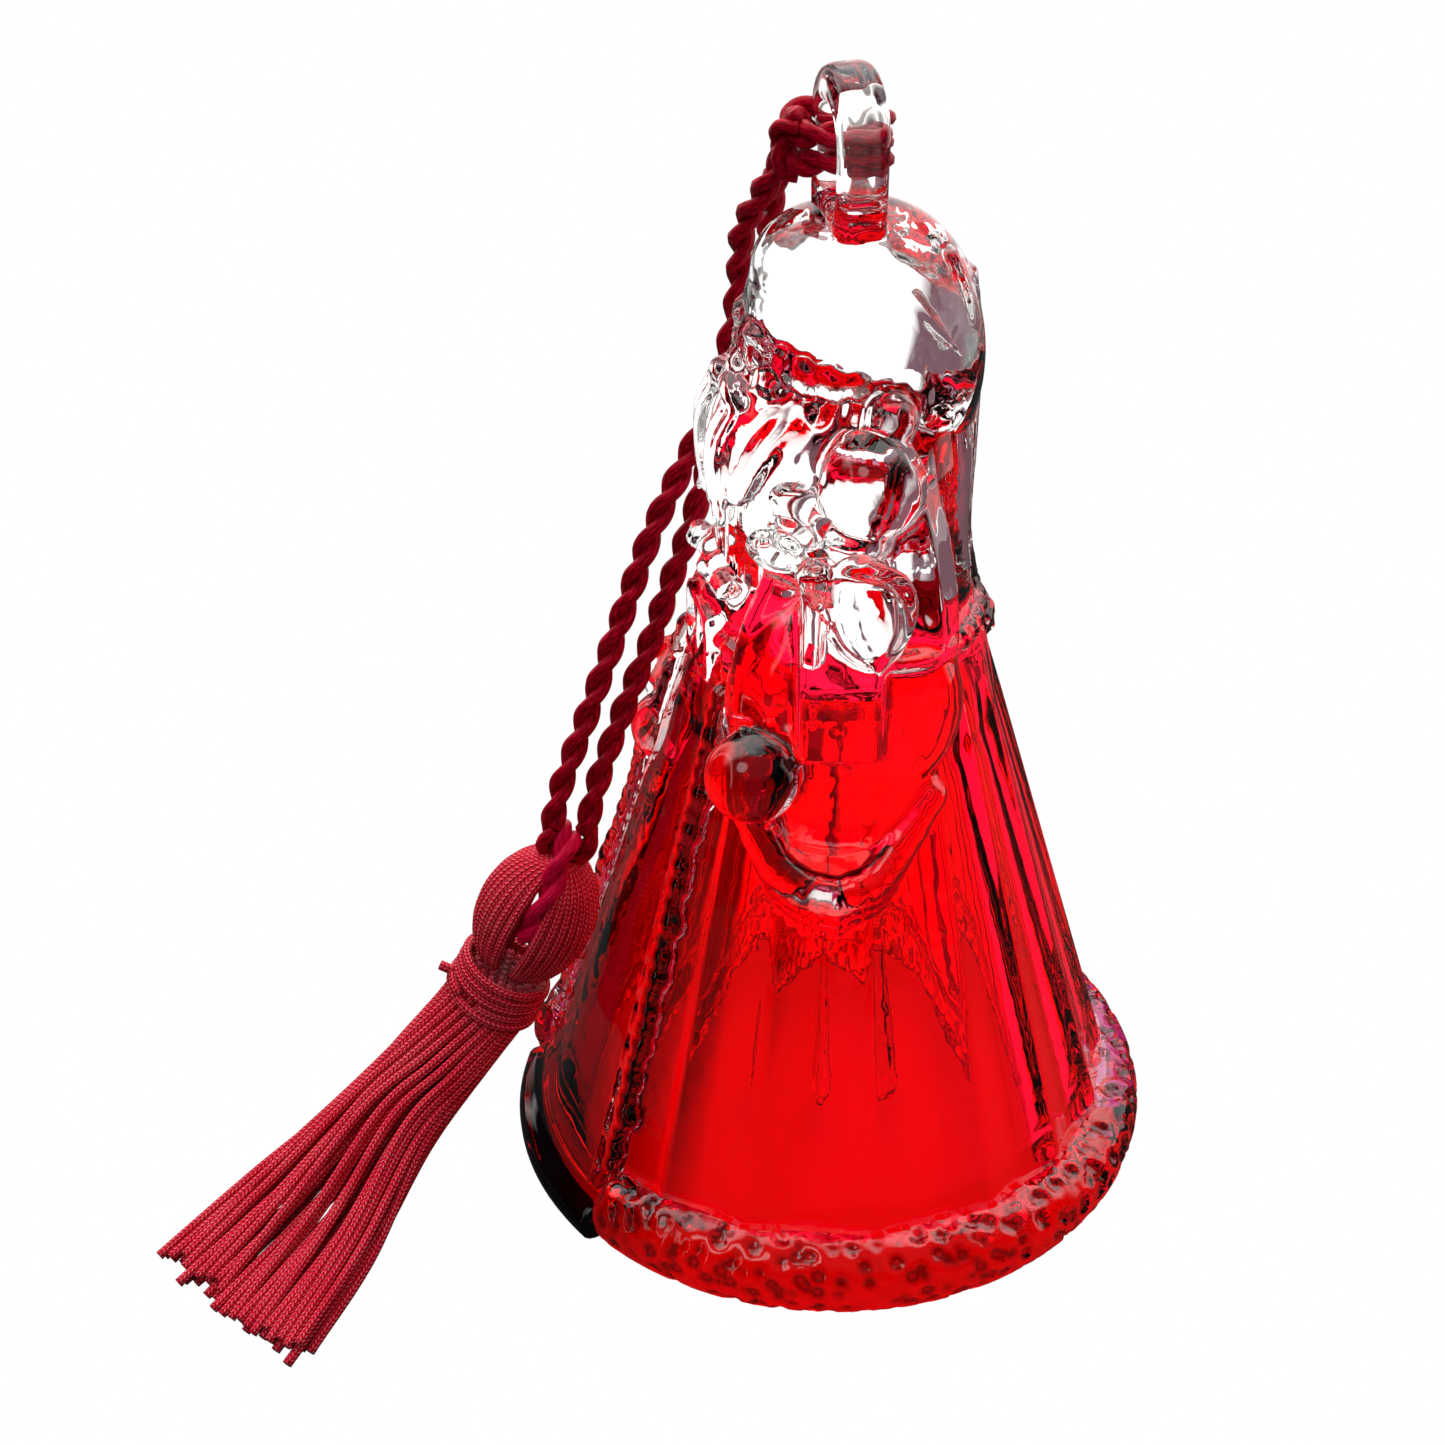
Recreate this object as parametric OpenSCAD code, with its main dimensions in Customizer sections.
// Figural glass table bell: a pressed crystal casting in the shape of a bearded man in a long
// coat, ruby inside the skirt, with a chain-hung glass clapper and a tasselled cord on its loop.
// Origin: centre of the rim on the table. +Z up, the figure faces -Y, its left side is +X.

/* [Skirt] */
// Outside radius of the fur hem band
hem_r = 33; // [31.5:0.5:40]
// Height of the fur hem band
hem_h = 9; // [6:0.5:12]
// Outside radius of the skirt at the rim
rim_r = 31.6; // [31.5:0.1:36]
// Outside radius of the skirt at the waist
waist_r = 14.6; // [13:0.2:17]
// Height of the waist above the rim
waist_z = 60; // [54:1:72]
// Number of fluted panels round the skirt
flutes = 18; // [16:1:24]
// Thickness of the glass wall of the skirt
wall = 4.4; // [3:0.1:5.3]
// How far the cavity's rounded ceiling rises above the waist
ceiling_rise = 3; // [-4:0.5:4]
// Half angle of the coat's open front, where the hem has no fur
front_gap = 24; // [18:1:30]

/* [Ruby lining] */
// Thickness of the fired ruby layer on the cavity wall
ruby_t = 0.4; // [0.2:0.1:0.8]

/* [Figure] */
// Radius of the cap's dome
cap_r = 10.3; // [9.6:0.1:10.5]
// Height of the cap's centre above the waist
cap_rise = 36.5; // [36:0.5:40]
// Radius of the beard
beard_r = 7.2; // [6:0.2:7.6]
// Radius of the shoulders
shoulder_r = 5.5; // [4.8:0.1:5.6]
// Radius of the fur ball at the end of the cap's tail
ball_r = 3.2; // [2.4:0.1:4]
// Radius of a mitten
mitten_r = 4; // [3:0.1:4.4]
// Radius of the round bauble on the gifts
bauble_r = 4.9; // [4:0.1:5.4]

/* [Crown loop] */
// Width of the loop, across the hole
loop_w = 11; // [10:0.5:13]
// Thickness of the loop, along the hole
loop_t = 4.8; // [4:0.1:5.8]
// Height of the loop above the cap
loop_h = 13.2; // [13:0.2:16]
// Width of the hole in the loop
hole_w = 5.6; // [5.6:0.2:6]
// Height of the hole in the loop
hole_h = 9; // [9:0.2:10]
// Glass left over the hole
loop_top = 3.8; // [2.8:0.2:4]

/* [Clapper] */
// Radius of the plug glued under the cavity's ceiling
plug_r = 4; // [3.2:0.2:4.6]
// Thickness of the plug
plug_h = 3; // [2.4:0.2:4]
// Diameter of the wire of the rings and the hanger
wire_d = 0.6; // [0.5:0.02:0.72]
// Length of the straight part of the hanger
hanger_l = 23; // [16:1:24]
// Outside height of the long drop ring
ring_h = 5; // [4.4:0.2:5.4]
// Length of the glass drop
drop_l = 24; // [16:0.5:25]
// Greatest radius of the glass drop
drop_r = 2.8; // [2:0.1:3.4]
// Number of facets round the glass drop
drop_facets = 8; // [6:1:12]
// Free play between two linked wires
link_play = 0.1; // [0.06:0.02:0.2]

/* [Cord and tassel] */
// Diameter of the twisted cord
cord_d = 2.6; // [2.1:0.1:2.6]
// Space between the cord's hitch and the glass
hitch_gap = 0.2; // [0.2:0.02:0.3]
// Radius of the tassel's folded head
head_r = 5.5; // [4.5:0.1:5.6]
// Outside radius of the binding round the tassel's neck
bind_r = 5.2; // [4.8:0.1:5.6]
// Length of the binding along the tassel
bind_l = 5; // [3:0.5:6]
// Width of the tassel's spread ends
spread_w = 22; // [16:1:23]

/* [Hidden] */

fine = 48;      // sides of the large round forms
medium = 20;    // sides of the small round forms
past = 1;       // how far a cut runs past a face

// Cavity: a cone inside the skirt, closed by a rounded ceiling with a flat for the plug
skirt_taper = (rim_r - waist_r) / waist_z;
cavity_h = waist_z + ceiling_rise;
dome_z = cavity_h - 11;
plug_flat = plug_r + 0.6;
function skirt_at(z) = rim_r - skirt_taper * z;
function cavity_at(z) = skirt_at(z) - wall;
function cavity_outline(inset) = concat(
    [[0, -past], [cavity_at(-past) - inset, -past]],
    [for (a = [0 : 9 : 90])
        [plug_flat + (cavity_at(dome_z) - inset - plug_flat) * cos(a),
         dome_z + (cavity_h - inset - dome_z) * sin(a)]],
    [[0, cavity_h - inset]]
);

// Figure: heights above the rim, and places out from the bell's axis
cap_z = waist_z + cap_rise;
beard_at = [0, -4.8, waist_z + 21];
shoulder_at = [10.5, 2, waist_z + 23];
elbow_at = [15.4, 2.6, waist_z - 3];
cuff_at = [17, -7.5, waist_z - 7];
mitten_at = [17, -13.5, waist_z - 1.5];
rest_elbow_at = [-14.5, -1, waist_z + 1];
rest_mitten_at = [-8.5, -13.2, waist_z - 12.5];
tail_points = [[0, 7.5, cap_z + 1], [0.2, 9.4, cap_z - 8], [0.4, 9.8, cap_z - 20], [0.5, 10.4, cap_z - 31]];
tail_radii = [5, 3.4, 2.6, 2];
ball_at = [0.6, 13, waist_z + 2];
gift_at = [16.6, -4.6, waist_z + 9];
gift_size = [6, 7.6, 19];
gift_turn = -14;
bauble_at = [12.6, -1.2, waist_z + 25];
finial_at = [11, 1.4, waist_z + 30];
bow_at = [19, -6.5, waist_z + 18];

// Crown loop, whose hole runs along Y
cap_top = cap_z + cap_r;
loop_z = cap_top + loop_h;
hole_top = loop_z - loop_top;
hole_bottom = hole_top - hole_h;

// Clapper chain: centres of the wires that bear on each other, from the plug down
plug_z = cavity_h - ruby_t;
small_ring_r = 1.2;
wire_pitch = wire_d + link_play;
eye_z = plug_z - plug_h - small_ring_r + 0.5;
eye_pin_z = eye_z - small_ring_r;
link_z = eye_pin_z + wire_pitch - small_ring_r;
link_pin_z = link_z - small_ring_r;
hanger_top_z = link_pin_z + wire_pitch - small_ring_r;
hanger_foot_z = hanger_top_z - 2 * small_ring_r - hanger_l;
hanger_pin_z = hanger_foot_z - small_ring_r;
ring_top_z = hanger_pin_z + wire_pitch;
ring_pin_z = ring_top_z - (ring_h - wire_d);
ring_w = 3 * (wire_d + link_play);
drop_eye_r = wire_d / 2 + 0.15;
drop_top_z = ring_pin_z + 1.1;
drop_tab_t = 0.9;

// Cord routes, from the hitch on the crown loop down to the tassel
outer_route = [
    [-4.4, -4.6, 110.6], [-4.8, -5.8, 108], [-6, -6.6, 105.6], [-8.2, -7.6, 101.5],
    [-9.6, -7.6, 96.5], [-9.8, -8, 91.5], [-9.4, -9.4, 86], [-9, -11.5, 80.5],
    [-8.5, -14.1, 75.5], [-8, -16.6, 70.5], [-7.3, -18.8, 65], [-6.5, -20.8, 60],
    [-5.6, -22.7, 55.5], [-4.7, -24.8, 50.5], [-3.7, -27, 45.5], [-2.9, -28.4, 41]
];
inner_route = [
    [-6.8, -4, 110.6], [-7.2, -4.4, 108], [-9, -4.6, 104.8], [-11, -4.3, 100],
    [-11.8, -4.4, 95], [-11.9, -5, 90], [-12.2, -6, 84.5], [-11.8, -8.2, 79.5],
    [-9.9, -10.8, 75], [-8.3, -12.8, 70], [-7.8, -14.9, 64.5], [-7.1, -17.1, 58.5],
    [-6, -19.3, 54], [-5, -21.4, 49.5], [-3.8, -23.4, 45], [-2.7, -24.9, 40.5]
];

// Tassel: the ends of its axis, and the sections of its spreading skirt
head_top = [-2.3, -27, 37.6];
neck_at = [-2.7, -33.2, 25];
tassel_axis = (neck_at - head_top) / norm(neck_at - head_top);
head_l = norm(neck_at - head_top);
bind_foot = neck_at + tassel_axis * bind_l;
skirt_sections = [
    [bind_foot, [4.4, 4.4]],
    [[3.2, -47.6, 11.4], [6, 4.4]],
    [[9.4, -57, 5.8], [8.4, 3.4]],
    [[14.6, -65.4, 2.4], [spread_w / 2, 1.8]]
];

function unit(v) = v / norm(v);
function tangent(p, i) = unit(p[min(i + 1, len(p) - 1)] - p[max(i - 1, 0)]);

// Round tube swept along a list of points that run mostly downwards
module tube(points, d, sides = 8) {
    rings = [for (i = [0 : len(points) - 1])
        let (t = tangent(points, i), u = unit(cross(t, [1, 0, 0])), v = cross(t, u))
        for (k = [0 : sides - 1])
            points[i] + d / 2 * (cos(360 * k / sides) * u + sin(360 * k / sides) * v)];
    last = (len(points) - 1) * sides;
    polyhedron(rings, concat(
        [[for (k = [0 : sides - 1]) k]],
        [for (i = [0 : len(points) - 2], k = [0 : sides - 1])
            let (a = i * sides + k, b = i * sides + (k + 1) % sides)
            [a, a + sides, b + sides, b]],
        [[for (k = [sides - 1 : -1 : 0]) last + k]]
    ));
}

// Puts the children's Z axis along a direction, at a point
module along(point, direction) {
    d = unit(direction);
    translate(point)
        rotate([0, acos(d[2]), atan2(d[1], d[0])])
        children();
}

// Closed loop of wire standing in the XZ plane, centred on the origin
module wire_ring(r) {
    rotate([90, 0, 0])
        rotate_extrude($fn = 48)
        translate([r, 0])
        circle(d = wire_d, $fn = 20);
}

// Rounded limb between two balls
module limb(a, ra, b, rb) {
    hull() {
        translate(a) sphere(ra, $fn = medium);
        translate(b) sphere(rb, $fn = medium);
    }
}

// Upright egg shape: a revolved half ellipse
module egg(r, h) {
    rotate_extrude($fn = 32)
        polygon([for (a = [-90 : 15 : 90]) [r * cos(a), h / 2 * sin(a)]]);
}

module fluted_skirt() {
    rotate([0, 0, 180 / flutes - 1])
        cylinder(h = waist_z, r1 = rim_r, r2 = waist_r, $fn = flutes);
}

module hem_band() {
    rotate([0, 0, -90 + front_gap])
        rotate_extrude(angle = 360 - 2 * front_gap, $fn = fine)
        translate([hem_r - hem_h / 2, 0])
        difference() {
            translate([0, hem_h / 2]) circle(d = hem_h, $fn = 20);
            translate([-hem_h, -hem_h]) square([hem_h, 3 * hem_h]);
        }
    rotate([0, 0, -90 + front_gap])
        rotate_extrude(angle = 360 - 2 * front_gap, $fn = fine)
        translate([cavity_at(0) + 1, 0])
        square([hem_r - hem_h / 2 - cavity_at(0) - 1, hem_h - 0.6]);
}

// Smooth bead round the foot, which shows where the coat is open in front
module foot_bead() {
    bead_r = 2;
    rotate_extrude($fn = fine)
        translate([hem_r - bead_r, bead_r])
        circle(bead_r, $fn = 16);
}

// Fur strips down both edges of the coat's open front
module coat_front() {
    strip_r = 1.9;
    for (side = [-1, 1])
        rotate([0, 0, side * (front_gap + 3) - 90])
            limb([skirt_at(5) - 0.6, 0, 5], strip_r, [skirt_at(waist_z) - 0.6, 0, waist_z], strip_r);
}

module torso() {
    translate([0, 0, waist_z - past])
        rotate_extrude($fn = fine)
        polygon([[0, 0], [waist_r, 0], [waist_r - 0.6, 5], [waist_r - 2.4, 9], [waist_r - 2.4, 14],
                 [waist_r - 1.8, 22], [waist_r - 4.6, 29], [0, 33]]);
    translate([0, 0, waist_z + 4])
        rotate_extrude($fn = fine)
        translate([waist_r - 1.6, 0])
        circle(d = 3, $fn = 13);
    translate([-3.6, -waist_r + 0.2, waist_z + 1]) cube([7.2, 3.6, 8]);
}

module head() {
    translate([0, 0, cap_z]) sphere(cap_r, $fn = 36);
    translate([0, -0.4, cap_z - 4])
        rotate_extrude($fn = 32)
        translate([cap_r - 2.2, 0])
        circle(1.8, $fn = 13);
    translate(beard_at) egg(beard_r, 22);
    translate([0, -8.2, cap_z - 5.5]) sphere(1.6, $fn = medium);
    for (i = [0 : len(tail_points) - 2])
        limb(tail_points[i], tail_radii[i], tail_points[i + 1], tail_radii[i + 1]);
    translate(ball_at) sphere(ball_r, $fn = medium);
}

module arms() {
    resting_shoulder = [-shoulder_at[0], shoulder_at[1], shoulder_at[2]];
    limb(shoulder_at, shoulder_r, elbow_at, 6);
    limb(elbow_at, 6, cuff_at, 6);
    translate(mitten_at) sphere(mitten_r, $fn = medium);
    limb(resting_shoulder, shoulder_r, rest_elbow_at, 4.6);
    limb(rest_elbow_at, 4.6, rest_mitten_at, 3.8);
    translate(rest_mitten_at) sphere(mitten_r, $fn = medium);
}

module gifts() {
    translate(gift_at) rotate([0, 0, gift_turn]) cube(gift_size, center = true);
    translate(bauble_at) sphere(bauble_r, $fn = 28);
    translate(finial_at) sphere(2.6, $fn = medium);
    translate(bow_at) rotate([0, 0, gift_turn]) {
        sphere(1.6, $fn = medium);
        for (side = [-1, 1])
            limb([0, side * 1, 0], 1, [-0.6, side * 4, 1.2], 1.7);
    }
}

module crown_loop() {
    r = loop_w / 2;
    difference() {
        hull() {
            translate([0, 0, loop_z - r]) rotate([90, 0, 0]) cylinder(r = r, h = loop_t, center = true, $fn = 48);
            translate([0, 0, cap_top - 2]) cube([loop_w - 1, loop_t, 4], center = true);
        }
        hull() {
            for (z = [hole_bottom + hole_w / 2, hole_top - hole_w / 2])
                translate([0, 0, z]) rotate([90, 0, 0])
                    cylinder(d = hole_w, h = loop_t + 2 * past, center = true, $fn = 32);
        }
    }
}

// One pressed glass casting: skirt, figure and crown loop
module bell_casting() {
    color([0.93, 0.95, 0.96, 0.6])
        difference() {
            union() {
                fluted_skirt();
                hem_band();
                foot_bead();
                coat_front();
                torso();
                head();
                arms();
                gifts();
                crown_loop();
            }
            rotate_extrude($fn = fine) polygon(cavity_outline(0));
            translate([0, 0, -hem_r]) cube([3 * hem_r, 3 * hem_r, 2 * hem_r], center = true);
        }
}

// Ruby layer fired on the cavity's wall and ceiling
module ruby_lining() {
    color([0.78, 0, 0.08])
        difference() {
            rotate_extrude($fn = fine) polygon(cavity_outline(0));
            rotate_extrude($fn = fine) polygon(cavity_outline(ruby_t));
            translate([0, 0, -hem_r]) cube([3 * hem_r, 3 * hem_r, 2 * hem_r], center = true);
        }
}

// Metal plug glued under the ceiling, with the hole that takes the eye
module clapper_plug() {
    color("silver")
        translate([0, 0, plug_z - plug_h])
        difference() {
            union() {
                cylinder(h = plug_h, r = plug_r - 0.8, $fn = 48);
                translate([0, 0, plug_h - 1]) cylinder(h = 1, r = plug_r, $fn = 48);
            }
            translate([0, 0, -past]) cylinder(h = past + 1.4, r = 0.5, $fn = 24);
        }
}

// Eye cast into the plug
module plug_eye() {
    color("silver") {
        translate([0, 0, eye_z]) wire_ring(small_ring_r);
        translate([0, 0, eye_z + small_ring_r]) cylinder(h = 1.6, d = wire_d, $fn = 24);
    }
}

// Jump ring between the eye and the hanger
module upper_link() {
    color("silver")
        translate([0, 0, link_z]) rotate([0, 0, 90]) wire_ring(small_ring_r);
}

// Straight wire with a closed loop at each end
module hanger_wire() {
    color("silver") {
        translate([0, 0, hanger_top_z]) wire_ring(small_ring_r);
        translate([0, 0, hanger_foot_z + small_ring_r])
            cylinder(h = hanger_l, d = wire_d, $fn = 24);
        translate([0, 0, hanger_foot_z]) wire_ring(small_ring_r);
    }
}

// Long ring through the hole of the glass drop, standing in the YZ plane
module drop_ring() {
    bend = (ring_w - wire_d) / 2;
    straight = ring_h - ring_w;
    color("silver")
        translate([0, 0, ring_pin_z + bend])
        rotate([0, 0, 90]) {
            for (up = [0, 1])
                translate([0, 0, up * straight]) rotate([90, 0, 0])
                    rotate([0, 0, up ? 0 : 180])
                    rotate_extrude(angle = 180, $fn = 48)
                    translate([bend, 0]) circle(d = wire_d, $fn = 20);
            for (side = [-1, 1])
                translate([side * bend, 0, 0]) cylinder(h = straight, d = wire_d, $fn = 20);
        }
}

// Faceted glass drop with a flat, pierced tab at its top
module clapper_drop() {
    tab_r = drop_top_z - ring_pin_z + 0.2;
    body_top = ring_pin_z - 1.6;
    foot_z = drop_top_z - drop_l;
    color([0.9, 0.93, 0.95])
        difference() {
            union() {
                translate([0, 0, ring_pin_z]) rotate([90, 0, 0])
                    cylinder(h = drop_tab_t, r = tab_r - 0.1, center = true, $fn = 32);
                translate([-0.7, -drop_tab_t / 2, body_top - 1]) cube([1.4, drop_tab_t, 2.4]);
                translate([0, 0, foot_z])
                    rotate_extrude($fn = drop_facets)
                    polygon([[0, 0], [drop_r * 0.55, 0.5], [drop_r, 2.6], [drop_r * 0.95, 4.4],
                             [0.9, body_top - foot_z - 0.6], [0, body_top - foot_z]]);
            }
            translate([0, 0, ring_pin_z + 0.02]) rotate([90, 0, 0])
                cylinder(h = drop_tab_t + 2 * past, r = drop_eye_r, center = true, $fn = 24);
        }
}

// Turns of the cord round the far bar of the crown loop
module crown_hitch() {
    in_x = hole_w / 2 - hitch_gap;
    out_x = loop_w / 2 + hitch_gap;
    half_y = loop_t / 2 + hitch_gap;
    color([0.62, 0.02, 0.1])
        translate([0, 0, hole_bottom + (hole_h - 2 * cord_d) / 2])
        linear_extrude(2 * cord_d)
        difference() {
            translate([-out_x - cord_d, -half_y - cord_d])
                square([out_x - in_x + 2 * cord_d, 2 * half_y + 2 * cord_d]);
            translate([-out_x, -half_y]) square([out_x - in_x, 2 * half_y]);
        }
}

module cord_leg_outer() {
    color([0.62, 0.02, 0.1]) tube(outer_route, cord_d);
}

module cord_leg_inner() {
    color([0.62, 0.02, 0.1]) tube(inner_route, cord_d);
}

// Bight of the cord round the tassel's own loop
module tassel_hitch() {
    color([0.62, 0.02, 0.1])
        hull()
        for (end = [outer_route[len(outer_route) - 1], inner_route[len(inner_route) - 1]])
            translate(end - [0, 0, cord_d / 2]) sphere(d = cord_d, $fn = 16);
}

// Small loop of cord that the strands of the tassel are folded over
module tassel_loop() {
    color([0.75, 0.03, 0.1])
        along(head_top + tassel_axis * 1.2, tassel_axis)
        rotate([90, 0, 0])
        rotate_extrude($fn = 32)
        translate([2, 0])
        circle(0.6, $fn = 16);
}

// Strands folded over the loop into a round head
module tassel_head() {
    color([0.66, 0.05, 0.13])
        along(head_top, tassel_axis)
        translate([0, 0, 2.6])
        rotate_extrude($fn = 40)
        polygon(concat([[0, 0]],
            [for (a = [10 : 10 : 140]) [head_r * sin(a), (head_l - 2.6) * (1 - cos(a)) / (1 - cos(140))]],
            [[0, head_l - 2.6]]));
}

// Wraps round the neck
module tassel_binding() {
    color([0.6, 0.04, 0.12])
        along(neck_at, tassel_axis)
        cylinder(h = bind_l, r = bind_r, $fn = 48);
}

// Loose ends of the strands, spreading down to the table
module tassel_skirt() {
    color([0.66, 0.05, 0.13])
        for (i = [0 : len(skirt_sections) - 2])
            hull()
            for (s = [skirt_sections[i], skirt_sections[i + 1]])
                along(s[0], [0.5, -0.8, -0.6])
                    rotate([0, 0, 90])
                    scale([s[1][0], s[1][1], 1])
                    cylinder(h = 0.02, r = 1, center = true, $fn = 24);
}

bell_casting();
ruby_lining();
clapper_plug();
plug_eye();
upper_link();
hanger_wire();
drop_ring();
clapper_drop();
crown_hitch();
cord_leg_outer();
cord_leg_inner();
tassel_hitch();
tassel_loop();
tassel_head();
tassel_binding();
tassel_skirt();
